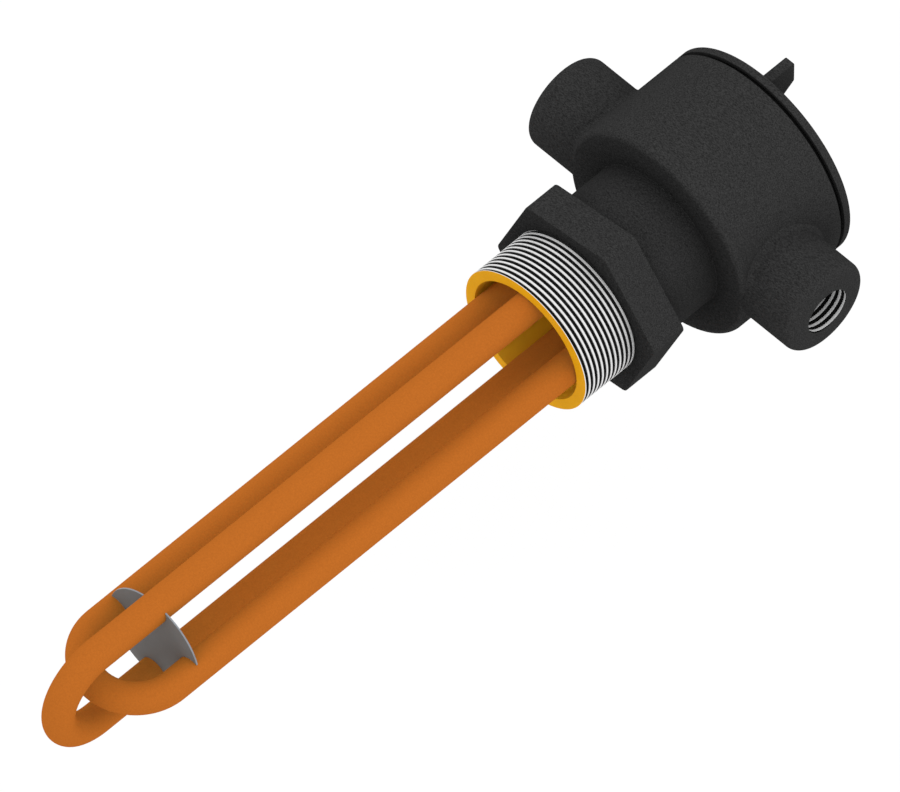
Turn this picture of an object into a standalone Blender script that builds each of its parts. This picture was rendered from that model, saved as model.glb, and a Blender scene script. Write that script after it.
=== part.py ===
"""Basin heater: screw plug with two crossed hairpin elements and a cast terminal housing.

Metres. The heater axis is world +Y, from the element tips to the cover. World X is the axis of the two
conduit hubs and world +Z is up. The origin is the centre of the plug's shoulder, where the thread meets
the hexagon. Every piece is drawn with the heater axis as its own Z, under an empty that lays it down.
"""
import bpy
import bmesh
from math import acos, atan2, cos, floor, pi, radians, sin, sqrt, tan, tau
from mathutils import Matrix, Vector

# Clearances
TOUCH = 0.0003                    # between pieces that bear on each other or fit in each other

# Hairpin elements
TUBE_RADIUS = 0.00603
LEG_CIRCLE_RADIUS = 0.01905       # legs stand this far from the heater axis
SHORT_REACH = 0.2464              # shoulder to the tip of the short hairpin
CROSSING_GAP = 0.00744            # between the bends where the long hairpin passes round the short one
TUBE_STAND_OUT = 0.0075           # leg ends past the rear of the plug

# Spacer disc on the legs
SPACER_RIM = 0.00315              # rim of the disc past the leg circle
SPACER_THICKNESS = 0.0007
SPACER_SETBACK = 0.0092           # front of the disc behind the start of the short bend

# Screw plug
BORE_GAP = 0.00062                # legs to the wall of the sleeve's bore
SLEEVE_WALL = 0.00316             # bore to the root of the thread
THREAD_DEPTH = 0.0013
THREAD_LENGTH = 0.0254
THREAD_PITCH = 0.0022087
COLLAR_RISE = 0.0001              # plain collar at the shoulder, past the crests
COLLAR_LENGTH = 0.0003
PLUG_BORE_DEPTH = 0.0354
HEX_ACROSS_FLATS = 0.06985
HEX_HEIGHT = 0.0151
HEX_CORNER_RADIUS = 0.003
HEX_TURN = radians(8.8)           # a corner of the hexagon above world +X
SPIGOT_LENGTH = 0.0132
SPIGOT_LEDGE = 0.0012             # the spigot's end face bears on this much of the housing

# Terminal housing
THROAT_GAP = 0.00092              # leg ends to the wall of the throat
NECK_WALL = 0.0027
NECK_LENGTH = 0.0257              # hexagon to the flat underside of the round box
NECK_FILLET = 0.0015
BOX_RADIUS = 0.04445
BOX_WALL = 0.00645
BOX_HEIGHT = 0.0492
BOX_FLOOR = 0.0055
BOX_BOTTOM_FILLET = 0.0035
BOX_INNER_FILLET = 0.003

# Conduit hubs
HUB_RADIUS = 0.01905
HUB_REACH = 0.067                 # heater axis to the hub's end face
HUB_EDGE_RADIUS = 0.0038
HUB_ROOT_FILLET = 0.0055          # on the cover's side and the flanks
HUB_ROOT_SHARP = 0.0004           # on the plug's side
HUB_ROOT_FADE = 0.8               # share of the hub's radius over which the fillet runs out
HUB_CORE = 0.8                    # inside the box the hub's solid narrows to this share
HUB_BORE_RADIUS = 0.0093
HUB_SINK = 0.00025                # the root fillet ends this far under the box's skin

# Cover
COVER_GAP = 0.0014                # dark line between the box's rim and the flange
FLANGE_THICKNESS = 0.003
COVER_PLATE = 0.005
COVER_SPIGOT_LENGTH = 0.010
COVER_SPIGOT_WALL = 0.0045
LUG_THICKNESS = 0.0035
LUG_HEIGHT = 0.0144
LUG_INSET = 0.00365               # lug's outer edge inside the flange's
LUG_TOP_WIDTH = 0.0093
LUG_FOOT_WIDTH = 0.0198
LUG_CORNER_RADIUS = 0.002

# Seal under the flange
RING_CORD_RADIUS = 0.00095
GROOVE_SIDE_GAP = 0.00045

# Terminals on the four leg ends
PIN_RADIUS = 0.0021
PIN_STAND_OUT = 0.005             # past the upper nut
PIN_TIP_CHAMFER = 0.0005
BUSHING_INSET = 0.00043           # bushing's collar inside the tube's skin
BUSHING_COLLAR = 0.003
BUSHING_NOSE_RADIUS = 0.004
BUSHING_NOSE = 0.003
NUT_ACROSS_FLATS = 0.008
NUT_HEIGHT = 0.0032
WASHER_RADIUS = 0.0045
WASHER_THICKNESS = 0.0008
BAR_WIDTH = 0.0078
BAR_THICKNESS = 0.0012

# Ground screw on the floor of the box
GROUND_ANGLE = radians(45)
GROUND_BOSS_RADIUS = 0.0048
GROUND_BOSS_HEIGHT = 0.002
GROUND_WALL_GAP = 0.0012          # boss to the wall of the round box
GROUND_SCREW_LENGTH = 0.0055

# Facets
ROUND = 48
HUB_ROUND = 32
BORE_ROUND = 24
SMALL_ROUND = 16
PIN_ROUND = 12
CORD_ROUND = 8
CORNER_SEGMENTS = 3
TUBE_BEVEL_RESOLUTION = 6
BEND_POINTS = 18
FILLET_STEPS = 4
WELD = 0.000005
SHARP_ANGLE = radians(32)

# Levels along the heater axis, from the shoulder
PLUG_TIP = -THREAD_LENGTH
WEB_FRONT = PLUG_TIP + PLUG_BORE_DEPTH
PLUG_REAR = HEX_HEIGHT + SPIGOT_LENGTH
LEG_END = PLUG_REAR + TUBE_STAND_OUT
NECK_START = HEX_HEIGHT + TOUCH
SOCKET_END = PLUG_REAR + TOUCH
BOX_UNDERSIDE = NECK_START + NECK_LENGTH
FLOOR_TOP = BOX_UNDERSIDE + BOX_FLOOR
BOX_RIM = BOX_UNDERSIDE + BOX_HEIGHT
COVER_SEAT = BOX_RIM + COVER_GAP
BUSHING_SEAT = LEG_END + TOUCH
LOWER_NUT_SEAT = BUSHING_SEAT + BUSHING_COLLAR + BUSHING_NOSE + TOUCH
BAR_SEAT = LOWER_NUT_SEAT + NUT_HEIGHT + TOUCH
WASHER_SEAT = BAR_SEAT + BAR_THICKNESS + TOUCH
UPPER_NUT_SEAT = WASHER_SEAT + WASHER_THICKNESS + TOUCH
PIN_TIP = UPPER_NUT_SEAT + NUT_HEIGHT + PIN_STAND_OUT
HUB_HEIGHT = BOX_UNDERSIDE + HUB_RADIUS
GROUND_SEAT = FLOOR_TOP + GROUND_BOSS_HEIGHT

# Radii and places worked out from the sizes above
LONG_REACH = SHORT_REACH + 2 * TUBE_RADIUS + CROSSING_GAP
SPACER_RADIUS = LEG_CIRCLE_RADIUS + SPACER_RIM
LEGS_RADIUS = LEG_CIRCLE_RADIUS + TUBE_RADIUS
PLUG_BORE_RADIUS = LEGS_RADIUS + BORE_GAP
THREAD_ROOT_RADIUS = PLUG_BORE_RADIUS + SLEEVE_WALL
THREAD_RADIUS = THREAD_ROOT_RADIUS + THREAD_DEPTH
THROAT_RADIUS = LEGS_RADIUS + THROAT_GAP
SPIGOT_RADIUS = THROAT_RADIUS + SPIGOT_LEDGE
NECK_RADIUS = SPIGOT_RADIUS + TOUCH + NECK_WALL
CAVITY_RADIUS = BOX_RADIUS - BOX_WALL
RING_RADIUS = (CAVITY_RADIUS + BOX_RADIUS) / 2
GROOVE_WIDTH = 2 * (RING_CORD_RADIUS + GROOVE_SIDE_GAP)
GROOVE_DEPTH = 2 * (RING_CORD_RADIUS + TOUCH) - COVER_GAP
LUG_OUTER = BOX_RADIUS - LUG_INSET
BUSHING_RADIUS = TUBE_RADIUS - BUSHING_INSET
HOLE_RADIUS = PIN_RADIUS + TOUCH
GROUND_RADIUS = CAVITY_RADIUS - GROUND_WALL_GAP - GROUND_BOSS_RADIUS
OVERLAP = 0.001                   # joined shapes and cutters run this far past the face they meet

# Leg ends in the plane across the heater axis, in wiring order: the short pair lies along X
LEG_PLACES = [
    (LEG_CIRCLE_RADIUS * cos(turn), LEG_CIRCLE_RADIUS * sin(turn))
    for turn in (0, -pi / 2, pi, pi / 2)
]
LINKED_LEGS = [(0, 1), (2, 3)]


def clear_scene():
    for old in list(bpy.data.objects):
        bpy.data.objects.remove(old, do_unlink=True)


def make_collection(name):
    collection = bpy.data.collections.new(name)
    bpy.context.scene.collection.children.link(collection)
    return collection


def make_material(name, colour, roughness, metallic):
    material = bpy.data.materials.new(name)
    material.use_nodes = True
    shader = material.node_tree.nodes["Principled BSDF"]
    shader.inputs["Base Color"].default_value = (*colour, 1.0)
    shader.inputs["Roughness"].default_value = roughness
    shader.inputs["Metallic"].default_value = metallic
    material.diffuse_color = (*colour, 1.0)
    return material


clear_scene()
PARTS = make_collection("basin_heater")
CUTTERS = make_collection("cutters")


def make_axis(name, parent, height):
    """An empty on the heater axis that carries pieces."""
    axis = bpy.data.objects.new(name, None)
    PARTS.objects.link(axis)
    axis.parent = parent
    axis.location.z = height
    return axis


HEATER_AXIS = make_axis("heater_axis", None, 0)
HEATER_AXIS.rotation_euler.x = -pi / 2
COVER_AXIS = make_axis("cover_axis", HEATER_AXIS, COVER_SEAT)


def place(name, data, matrix=Matrix.Identity(4), parent=HEATER_AXIS, cutter=False):
    """Put a mesh or curve in the model as one object."""
    piece = bpy.data.objects.new(name, data)
    (CUTTERS if cutter else PARTS).objects.link(piece)
    piece.parent = parent
    piece.matrix_local = matrix
    if cutter:
        piece.hide_render = True
        piece.display_type = "WIRE"
    return piece


def at(x, y, z):
    return Matrix.Translation((x, y, z))


def arc(centre, radius, start, end, steps=FILLET_STEPS):
    """Points on an arc, both ends included."""
    turns = [start + (end - start) * i / steps for i in range(steps + 1)]
    return [(centre[0] + radius * cos(turn), centre[1] + radius * sin(turn)) for turn in turns]


def circle(centre, radius, steps=SMALL_ROUND):
    return arc(centre, radius, 0, tau, steps)[:-1]


def turned(name, profile, steps=ROUND, closed=True, **where):
    """Solid of revolution. The profile of (radius, height) runs down the outer side, then up the inner."""
    mesh = bpy.data.meshes.new(name)
    count = len(profile)
    edges = [(i, i + 1) for i in range(count - 1)]
    if closed:
        edges.append((count - 1, 0))
    mesh.from_pydata([(radius, 0, height) for radius, height in profile], edges, [])
    piece = place(name, mesh, **where)
    turn = piece.modifiers.new("Turn", "SCREW")
    turn.axis = "Z"
    turn.angle = tau
    turn.steps = steps
    turn.render_steps = steps
    turn.use_merge_vertices = True
    turn.merge_threshold = WELD
    return piece


def rod(name, radius, low, high, steps=SMALL_ROUND, **where):
    """Plain cylinder between two heights."""
    work = bmesh.new()
    bmesh.ops.create_cone(
        work, cap_ends=True, segments=steps, radius1=radius, radius2=radius, depth=high - low,
        matrix=at(0, 0, (low + high) / 2),
    )
    return place(name, mesh_from(name, work), **where)


def hexagon(name, across_flats, low, high, turn=0, corner_radius=0, **where):
    """Hexagonal prism with rounded upright edges. One corner stands at the angle turn from X."""
    work = bmesh.new()
    corner = across_flats / 2 / cos(pi / 6)
    bmesh.ops.create_cone(
        work, cap_ends=True, segments=6, radius1=corner, radius2=corner, depth=high - low,
        matrix=at(0, 0, (low + high) / 2) @ Matrix.Rotation(turn - pi / 2, 4, "Z"),
    )
    if corner_radius:
        upright = [e for e in work.edges if abs(e.verts[0].co.z - e.verts[1].co.z) > OVERLAP]
        bmesh.ops.bevel(
            work, geom=upright, offset=corner_radius * tan(pi / 6), segments=CORNER_SEGMENTS,
            profile=0.5, affect="EDGES",
        )
    return place(name, mesh_from(name, work), **where)


def mesh_from(name, work):
    mesh = bpy.data.meshes.new(name)
    work.to_mesh(mesh)
    work.free()
    return mesh


def mesh_of_curve(curve_piece):
    """Swap a curve object for a mesh object of the same shape, name and place."""
    bpy.context.view_layer.update()
    name, parent, matrix = curve_piece.name, curve_piece.parent, curve_piece.matrix_local.copy()
    evaluated = curve_piece.evaluated_get(bpy.context.evaluated_depsgraph_get())
    mesh = bpy.data.meshes.new_from_object(evaluated)
    work = bmesh.new()
    work.from_mesh(mesh)
    bmesh.ops.remove_doubles(work, verts=work.verts, dist=WELD)
    bmesh.ops.recalc_face_normals(work, faces=work.faces)
    work.to_mesh(mesh)
    work.free()
    cutter = curve_piece.display_type == "WIRE"
    bpy.data.objects.remove(curve_piece)
    return place(name, mesh, matrix=matrix, parent=parent, cutter=cutter)


def plate(name, outlines, thickness, matrix=Matrix.Identity(4), **where):
    """Flat piece of even thickness, resting on its own XY plane. Outlines after the first are holes."""
    curve = bpy.data.curves.new(name, "CURVE")
    curve.dimensions = "2D"
    curve.fill_mode = "BOTH"
    curve.extrude = thickness / 2
    for outline in outlines:
        spline = curve.splines.new("POLY")
        spline.points.add(len(outline) - 1)
        for point, (x, y) in zip(spline.points, outline):
            point.co = (x, y, 0, 1)
        spline.use_cyclic_u = True
    return mesh_of_curve(place(name, curve, matrix @ at(0, 0, thickness / 2), **where))


def rounded(corners, radii):
    """Polygon with its corners rounded to the radii given, 0 for a sharp one."""
    outline = []
    count = len(corners)
    for i, (corner, radius) in enumerate(zip(corners, radii)):
        here = Vector(corner)
        before = (Vector(corners[i - 1]) - here).normalized()
        after = (Vector(corners[(i + 1) % count]) - here).normalized()
        if not radius:
            outline.append(tuple(here))
            continue
        half = before.angle(after) / 2
        centre = here + (before + after).normalized() * radius / sin(half)
        first = here + before * radius / tan(half) - centre
        last = here + after * radius / tan(half) - centre
        start = atan2(first.y, first.x)
        sweep = atan2(last.y, last.x) - start
        sweep = (sweep + pi) % tau - pi
        outline += arc(centre, radius, start, start + sweep)
    return outline


def combine(piece, other, operation):
    step = piece.modifiers.new(other.name, "BOOLEAN")
    step.operation = operation
    step.object = other
    step.solver = "EXACT"


def join(piece, other):
    combine(piece, other, "UNION")


def cut(piece, other):
    combine(piece, other, "DIFFERENCE")


def hairpin(name, reach, across, material):
    """U-bent tube. Its legs stand on both sides of the heater axis, along the unit vector across."""
    bend_level = -(reach - TUBE_RADIUS - LEG_CIRCLE_RADIUS)
    side = arc((0, bend_level), LEG_CIRCLE_RADIUS, 0, -pi, BEND_POINTS)
    route = [(LEG_CIRCLE_RADIUS, LEG_END)] + side + [(-LEG_CIRCLE_RADIUS, LEG_END)]
    curve = bpy.data.curves.new(name, "CURVE")
    curve.dimensions = "3D"
    curve.bevel_depth = TUBE_RADIUS
    curve.bevel_resolution = TUBE_BEVEL_RESOLUTION
    curve.use_fill_caps = True
    spline = curve.splines.new("POLY")
    spline.points.add(len(route) - 1)
    for point, (out, level) in zip(spline.points, route):
        point.co = (across[0] * out, across[1] * out, level, 1)
    tube = mesh_of_curve(place(name, curve))
    tube.data.materials.append(material)
    return tube


def spacer(material):
    """Thin disc whose rim is notched by the four legs."""
    notch = TUBE_RADIUS + TOUCH
    reach = LEG_CIRCLE_RADIUS
    meet = acos((SPACER_RADIUS ** 2 + reach ** 2 - notch ** 2) / (2 * SPACER_RADIUS * reach))
    lip = atan2(SPACER_RADIUS * sin(meet), SPACER_RADIUS * cos(meet) - reach)
    notch_edge = arc((reach, 0), notch, -lip, lip - tau, 3 * FILLET_STEPS)
    rim = arc((0, 0), SPACER_RADIUS, meet, pi / 2 - meet, 2 * FILLET_STEPS)[1:-1]
    outline = []
    for i in range(4):
        turn = Matrix.Rotation(i * pi / 2, 2)
        outline += [tuple(turn @ Vector(point)) for point in notch_edge + rim]
    level = -(SHORT_REACH - TUBE_RADIUS - LEG_CIRCLE_RADIUS) + SPACER_SETBACK
    disc = plate("element_spacer", [outline], SPACER_THICKNESS, at(0, 0, level))
    disc.data.materials.append(material)
    return disc


def screw_plug(brass, paint):
    """Threaded sleeve, hexagon, tube web and rear spigot turned from one bar."""
    root = THREAD_ROOT_RADIUS
    collar = THREAD_RADIUS + COLLAR_RISE
    thread = [(collar, -COLLAR_LENGTH), (root, -COLLAR_LENGTH)]
    for i in range(floor(THREAD_LENGTH / THREAD_PITCH)):
        thread += [(THREAD_RADIUS, -(i + 0.5) * THREAD_PITCH), (root, -(i + 1) * THREAD_PITCH)]
    thread.append((THREAD_RADIUS, PLUG_TIP))
    step_level = HEX_HEIGHT / 2
    profile = [(0, PLUG_REAR), (SPIGOT_RADIUS, PLUG_REAR), (SPIGOT_RADIUS, step_level)]
    profile += [(collar, step_level)] + thread + [(0, PLUG_TIP)]
    plug = turned("screw_plug", profile, closed=False)
    plug.data.materials.append(brass)
    plug.data.materials.append(paint)
    nut = hexagon(
        "plug_hexagon", HEX_ACROSS_FLATS, 0, HEX_HEIGHT, turn=-HEX_TURN,
        corner_radius=HEX_CORNER_RADIUS, cutter=True,
    )
    nut.data.materials.append(brass)
    nut.data.materials.append(paint)
    for face in nut.data.polygons:
        face.material_index = 1
    join(plug, nut)
    cut(plug, rod("plug_bore", PLUG_BORE_RADIUS, PLUG_TIP - OVERLAP, WEB_FRONT, ROUND, cutter=True))
    for i, (x, y) in enumerate(LEG_PLACES):
        cut(plug, rod(
            f"leg_hole_{i + 1}", TUBE_RADIUS + TOUCH, WEB_FRONT - OVERLAP, PLUG_REAR + OVERLAP,
            matrix=at(x, y, 0), cutter=True,
        ))
    return plug


def root_fillet(up):
    """Radius of the hub's root fillet at a height from -1, on the plug's side, to 1, on the cover's."""
    full = min(HUB_ROOT_FILLET, BOX_RIM - HUB_HEIGHT - HUB_RADIUS - OVERLAP)
    keep = min(1, max(0, 1 + up / HUB_ROOT_FADE))
    keep *= keep * (3 - 2 * keep)
    return HUB_ROOT_SHARP + (full - HUB_ROOT_SHARP) * keep


def root_point(side, up, share):
    """Point on the root fillet, whose ball rolls round the hub. Share 0 is on the hub and 1 on the box."""
    fillet = root_fillet(up)
    out = HUB_RADIUS + fillet
    reach = sqrt((BOX_RADIUS - HUB_SINK + fillet) ** 2 - (out * side) ** 2)
    ball = Vector((reach, out * side, out * up))
    to_hub = Vector((0, -side, -up))
    to_box = Vector((-ball.x, -ball.y, 0)).normalized()
    point = ball + to_hub.slerp(to_box, share) * fillet
    return (point.x, point.y, max(point.z, -HUB_RADIUS))


def hub_solid(name, turn):
    """Conduit hub with a rounded mouth and a rolling-ball fillet where it meets the round box."""
    ways = [(sin(tau * k / HUB_ROUND), cos(tau * k / HUB_ROUND)) for k in range(HUB_ROUND)]
    mouth = (HUB_RADIUS - HUB_EDGE_RADIUS, HUB_REACH - HUB_EDGE_RADIUS)
    rings = [
        [(x, out * side, out * up) for side, up in ways]
        for out, x in arc(mouth, HUB_EDGE_RADIUS, pi / 2, 0)
    ]
    for step in range(FILLET_STEPS + 1):
        rings.append([root_point(side, up, step / FILLET_STEPS) for side, up in ways])
    core = HUB_RADIUS * HUB_CORE
    rings.append([(CAVITY_RADIUS / 2, core * side, core * up) for side, up in ways])
    work = bmesh.new()
    loops = [[work.verts.new(point) for point in ring] for ring in rings]
    for ring, following in zip(loops, loops[1:]):
        for k in range(HUB_ROUND):
            work.faces.new((ring[k], ring[k - 1], following[k - 1], following[k]))
    work.faces.new(loops[0])
    work.faces.new(loops[-1][::-1])
    bmesh.ops.recalc_face_normals(work, faces=work.faces)
    matrix = at(0, 0, HUB_HEIGHT) @ Matrix.Rotation(turn, 4, "Z")
    return place(name, mesh_from(name, work), matrix=matrix, cutter=True)


def housing_body(paint):
    """One casting: neck, round box and two conduit hubs, then bored out."""
    fillet = BOX_BOTTOM_FILLET
    skin = [(0, BOX_RIM), (BOX_RADIUS, BOX_RIM)]
    skin += arc((BOX_RADIUS - fillet, BOX_UNDERSIDE + fillet), fillet, 0, -pi / 2)
    skin += arc((NECK_RADIUS + NECK_FILLET, BOX_UNDERSIDE - NECK_FILLET), NECK_FILLET, pi / 2, pi, 2)
    skin += [(NECK_RADIUS, NECK_START), (0, NECK_START)]
    body = turned("housing_body", skin, closed=False)
    body.data.materials.append(paint)
    join(body, hub_solid("hub_right", 0))
    join(body, hub_solid("hub_left", pi))

    inner = BOX_INNER_FILLET
    socket = SPIGOT_RADIUS + TOUCH
    room = [(0, BOX_RIM + OVERLAP), (CAVITY_RADIUS, BOX_RIM + OVERLAP)]
    room += arc((CAVITY_RADIUS - inner, FLOOR_TOP + inner), inner, 0, -pi / 2)
    room += [(THROAT_RADIUS, FLOOR_TOP), (THROAT_RADIUS, SOCKET_END), (socket, SOCKET_END)]
    room += [(socket, NECK_START - OVERLAP), (0, NECK_START - OVERLAP)]
    cut(body, turned("housing_room", room, closed=False, cutter=True))

    reach = HUB_REACH + OVERLAP
    along_x = at(0, 0, HUB_HEIGHT) @ Matrix.Rotation(pi / 2, 4, "Y")
    cut(body, rod(
        "conduit_bore", HUB_BORE_RADIUS, -reach, reach, BORE_ROUND, matrix=along_x, cutter=True,
    ))

    seat = ground_place()
    join(body, rod(
        "ground_boss", GROUND_BOSS_RADIUS, BOX_UNDERSIDE + OVERLAP, GROUND_SEAT, matrix=seat, cutter=True,
    ))
    depth = GROUND_SCREW_LENGTH + TOUCH
    cut(body, rod(
        "ground_hole", HOLE_RADIUS, GROUND_SEAT - depth, GROUND_SEAT + OVERLAP, matrix=seat, cutter=True,
    ))
    return body


def ground_place():
    return at(GROUND_RADIUS * cos(GROUND_ANGLE), GROUND_RADIUS * sin(GROUND_ANGLE), 0)


def housing_cover(paint):
    """Screwed cover: flange over the rim, threaded spigot inside it and two lugs to turn it by."""
    spigot = CAVITY_RADIUS - TOUCH
    groove_out = RING_RADIUS + GROOVE_WIDTH / 2
    groove_in = RING_RADIUS - GROOVE_WIDTH / 2
    profile = [
        (0, FLANGE_THICKNESS),
        (BOX_RADIUS, FLANGE_THICKNESS),
        (BOX_RADIUS, 0),
        (groove_out, 0),
        (groove_out, GROOVE_DEPTH),
        (groove_in, GROOVE_DEPTH),
        (groove_in, 0),
        (spigot, 0),
        (spigot, -COVER_SPIGOT_LENGTH),
        (spigot - COVER_SPIGOT_WALL, -COVER_SPIGOT_LENGTH),
        (spigot - COVER_SPIGOT_WALL, FLANGE_THICKNESS - COVER_PLATE),
        (0, FLANGE_THICKNESS - COVER_PLATE),
    ]
    cover = turned("housing_cover", profile, closed=False, parent=COVER_AXIS)
    cover.data.materials.append(paint)
    corners = [
        (LUG_OUTER - LUG_FOOT_WIDTH, -OVERLAP),
        (LUG_OUTER, -OVERLAP),
        (LUG_OUTER, LUG_HEIGHT),
        (LUG_OUTER - LUG_TOP_WIDTH, LUG_HEIGHT),
        (LUG_OUTER - LUG_FOOT_WIDTH, 0),
    ]
    outline = rounded(corners, [0, 0, LUG_CORNER_RADIUS, LUG_CORNER_RADIUS, 0])
    upright = Matrix.Rotation(pi / 2, 4, "X")
    for i, turn in enumerate((pi / 2, -pi / 2)):
        stand = at(0, 0, FLANGE_THICKNESS) @ Matrix.Rotation(turn, 4, "Z") @ upright
        lug = plate(
            f"lug_{i + 1}", [outline], LUG_THICKNESS, stand @ at(0, 0, -LUG_THICKNESS / 2),
            parent=COVER_AXIS, cutter=True,
        )
        join(cover, lug)
    return cover


def o_ring(rubber):
    section = arc((RING_RADIUS, 0), RING_CORD_RADIUS, pi / 2, pi / 2 - tau, CORD_ROUND)[:-1]
    middle = GROOVE_DEPTH - TOUCH - RING_CORD_RADIUS
    ring = turned("cover_o_ring", section, parent=COVER_AXIS, matrix=at(0, 0, middle))
    ring.data.materials.append(rubber)
    return ring


def nut(name, seat, x, y, steel):
    corner = NUT_ACROSS_FLATS / 2 / cos(pi / 6)
    outline = [(corner * cos(i * pi / 3), corner * sin(i * pi / 3)) for i in range(6)]
    piece = plate(name, [outline, circle((0, 0), HOLE_RADIUS, PIN_ROUND)], NUT_HEIGHT, at(x, y, seat))
    piece.data.materials.append(steel)


def washer(name, seat, x, y, steel):
    rings = [circle((0, 0), WASHER_RADIUS), circle((0, 0), HOLE_RADIUS, PIN_ROUND)]
    piece = plate(name, rings, WASHER_THICKNESS, at(x, y, seat))
    piece.data.materials.append(steel)


def bushing(name, x, y, ceramic):
    top = BUSHING_COLLAR + BUSHING_NOSE
    profile = [
        (BUSHING_NOSE_RADIUS, top),
        (BUSHING_NOSE_RADIUS, BUSHING_COLLAR),
        (BUSHING_RADIUS, BUSHING_COLLAR),
        (BUSHING_RADIUS, 0),
        (HOLE_RADIUS, 0),
        (HOLE_RADIUS, top),
    ]
    piece = turned(name, profile, SMALL_ROUND, matrix=at(x, y, BUSHING_SEAT))
    piece.data.materials.append(ceramic)


def pin(name, x, y, steel):
    profile = [
        (0, PIN_TIP),
        (PIN_RADIUS - PIN_TIP_CHAMFER, PIN_TIP),
        (PIN_RADIUS, PIN_TIP - PIN_TIP_CHAMFER),
        (PIN_RADIUS, BUSHING_SEAT),
        (0, BUSHING_SEAT),
    ]
    piece = turned(name, profile, PIN_ROUND, closed=False, matrix=at(x, y, 0))
    piece.data.materials.append(steel)


def link_bar(name, first, second, copper):
    """Flat bar with a round eye over each of two pins."""
    start, end = Vector(first), Vector(second)
    along = end - start
    heading = atan2(along.y, along.x)
    outline = arc(end, BAR_WIDTH / 2, heading - pi / 2, heading + pi / 2, SMALL_ROUND // 2)
    outline += arc(start, BAR_WIDTH / 2, heading + pi / 2, heading + 3 * pi / 2, SMALL_ROUND // 2)
    eyes = [circle(start, HOLE_RADIUS, PIN_ROUND), circle(end, HOLE_RADIUS, PIN_ROUND)]
    bar = plate(name, [outline] + eyes, BAR_THICKNESS, at(0, 0, BAR_SEAT))
    bar.data.materials.append(copper)


def ground_terminal(green, steel):
    x, y = ground_place().translation.xy
    washer("ground_washer", GROUND_SEAT + TOUCH, x, y, steel)
    under_head = GROUND_SEAT + WASHER_THICKNESS + 2 * TOUCH
    screw = rod(
        "ground_screw", PIN_RADIUS, GROUND_SEAT - GROUND_SCREW_LENGTH, under_head + OVERLAP, PIN_ROUND,
        matrix=ground_place(),
    )
    screw.data.materials.append(green)
    join(screw, hexagon(
        "ground_head", NUT_ACROSS_FLATS, under_head, under_head + NUT_HEIGHT,
        matrix=ground_place(), cutter=True,
    ))


def smooth(piece):
    """Turn the modifiers into a mesh whose round faces are shaded smooth."""
    bpy.context.view_layer.update()
    evaluated = piece.evaluated_get(bpy.context.evaluated_depsgraph_get())
    mesh = bpy.data.meshes.new_from_object(evaluated)
    piece.modifiers.clear()
    piece.data = mesh
    mesh.shade_smooth()
    mesh.set_sharp_from_angle(angle=SHARP_ANGLE)


def build():
    paint = make_material("black_casting_paint", (0.040, 0.040, 0.041), 0.75, 0.0)
    brass = make_material("plug_brass", (0.70, 0.36, 0.03), 0.45, 0.9)
    copper = make_material("element_copper", (0.53, 0.15, 0.025), 0.5, 0.6)
    link_copper = make_material("link_copper", (0.60, 0.24, 0.10), 0.35, 1.0)
    grey = make_material("spacer_steel", (0.15, 0.15, 0.16), 0.5, 0.6)
    steel = make_material("terminal_steel", (0.55, 0.55, 0.56), 0.3, 1.0)
    ceramic = make_material("bushing_ceramic", (0.75, 0.72, 0.65), 0.5, 0.0)
    rubber = make_material("seal_rubber", (0.012, 0.012, 0.012), 0.8, 0.0)
    green = make_material("ground_green", (0.03, 0.22, 0.06), 0.45, 0.2)

    housing_body(paint)
    housing_cover(paint)
    o_ring(rubber)
    screw_plug(brass, paint)
    hairpin("element_short", SHORT_REACH, (1, 0), copper)
    hairpin("element_long", LONG_REACH, (0, 1), copper)
    spacer(grey)
    for i, (x, y) in enumerate(LEG_PLACES):
        number = i + 1
        bushing(f"bushing_{number}", x, y, ceramic)
        pin(f"pin_{number}", x, y, steel)
        nut(f"lower_nut_{number}", LOWER_NUT_SEAT, x, y, steel)
        washer(f"washer_{number}", WASHER_SEAT, x, y, steel)
        nut(f"upper_nut_{number}", UPPER_NUT_SEAT, x, y, steel)
    for i, (first, second) in enumerate(LINKED_LEGS):
        link_bar(f"link_bar_{i + 1}", LEG_PLACES[first], LEG_PLACES[second], link_copper)
    ground_terminal(green, steel)
    for piece in list(PARTS.objects):
        if piece.type == "MESH":
            smooth(piece)


build()
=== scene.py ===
from math import acos, atan2, cos, floor, hypot, pi, radians, sin, sqrt, tan, tau

import bmesh
import bpy
from mathutils import Matrix, Vector


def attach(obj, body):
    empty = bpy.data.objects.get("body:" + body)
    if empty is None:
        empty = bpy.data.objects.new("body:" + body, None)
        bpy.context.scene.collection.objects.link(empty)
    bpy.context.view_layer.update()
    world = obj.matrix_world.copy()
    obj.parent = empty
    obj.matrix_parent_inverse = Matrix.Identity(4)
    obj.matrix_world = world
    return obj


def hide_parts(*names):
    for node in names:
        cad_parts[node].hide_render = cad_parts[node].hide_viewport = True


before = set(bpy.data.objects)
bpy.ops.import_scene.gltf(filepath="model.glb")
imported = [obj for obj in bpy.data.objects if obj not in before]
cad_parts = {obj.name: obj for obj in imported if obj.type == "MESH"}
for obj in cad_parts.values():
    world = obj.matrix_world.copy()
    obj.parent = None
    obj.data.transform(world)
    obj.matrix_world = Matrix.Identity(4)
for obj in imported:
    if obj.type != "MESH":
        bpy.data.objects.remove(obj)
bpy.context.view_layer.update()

# Sizes of the part, the same as in its source, apart from the fillets, the flange and the lugs,
# which follow the photo a little closer here
TOUCH = 0.0003                    # between pieces that bear on each other
TUBE_RADIUS = 0.00603
LEG_CIRCLE_RADIUS = 0.01905       # legs stand this far from the heater axis
SHORT_REACH = 0.2464              # shoulder to the tip of the short hairpin
CROSSING_GAP = 0.00744            # between the bends, where the hairpins cross
TUBE_STAND_OUT = 0.0075           # leg ends past the rear of the plug
SPACER_RIM = 0.00315              # rim of the disc past the leg circle
SPACER_THICKNESS = 0.0007
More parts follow.
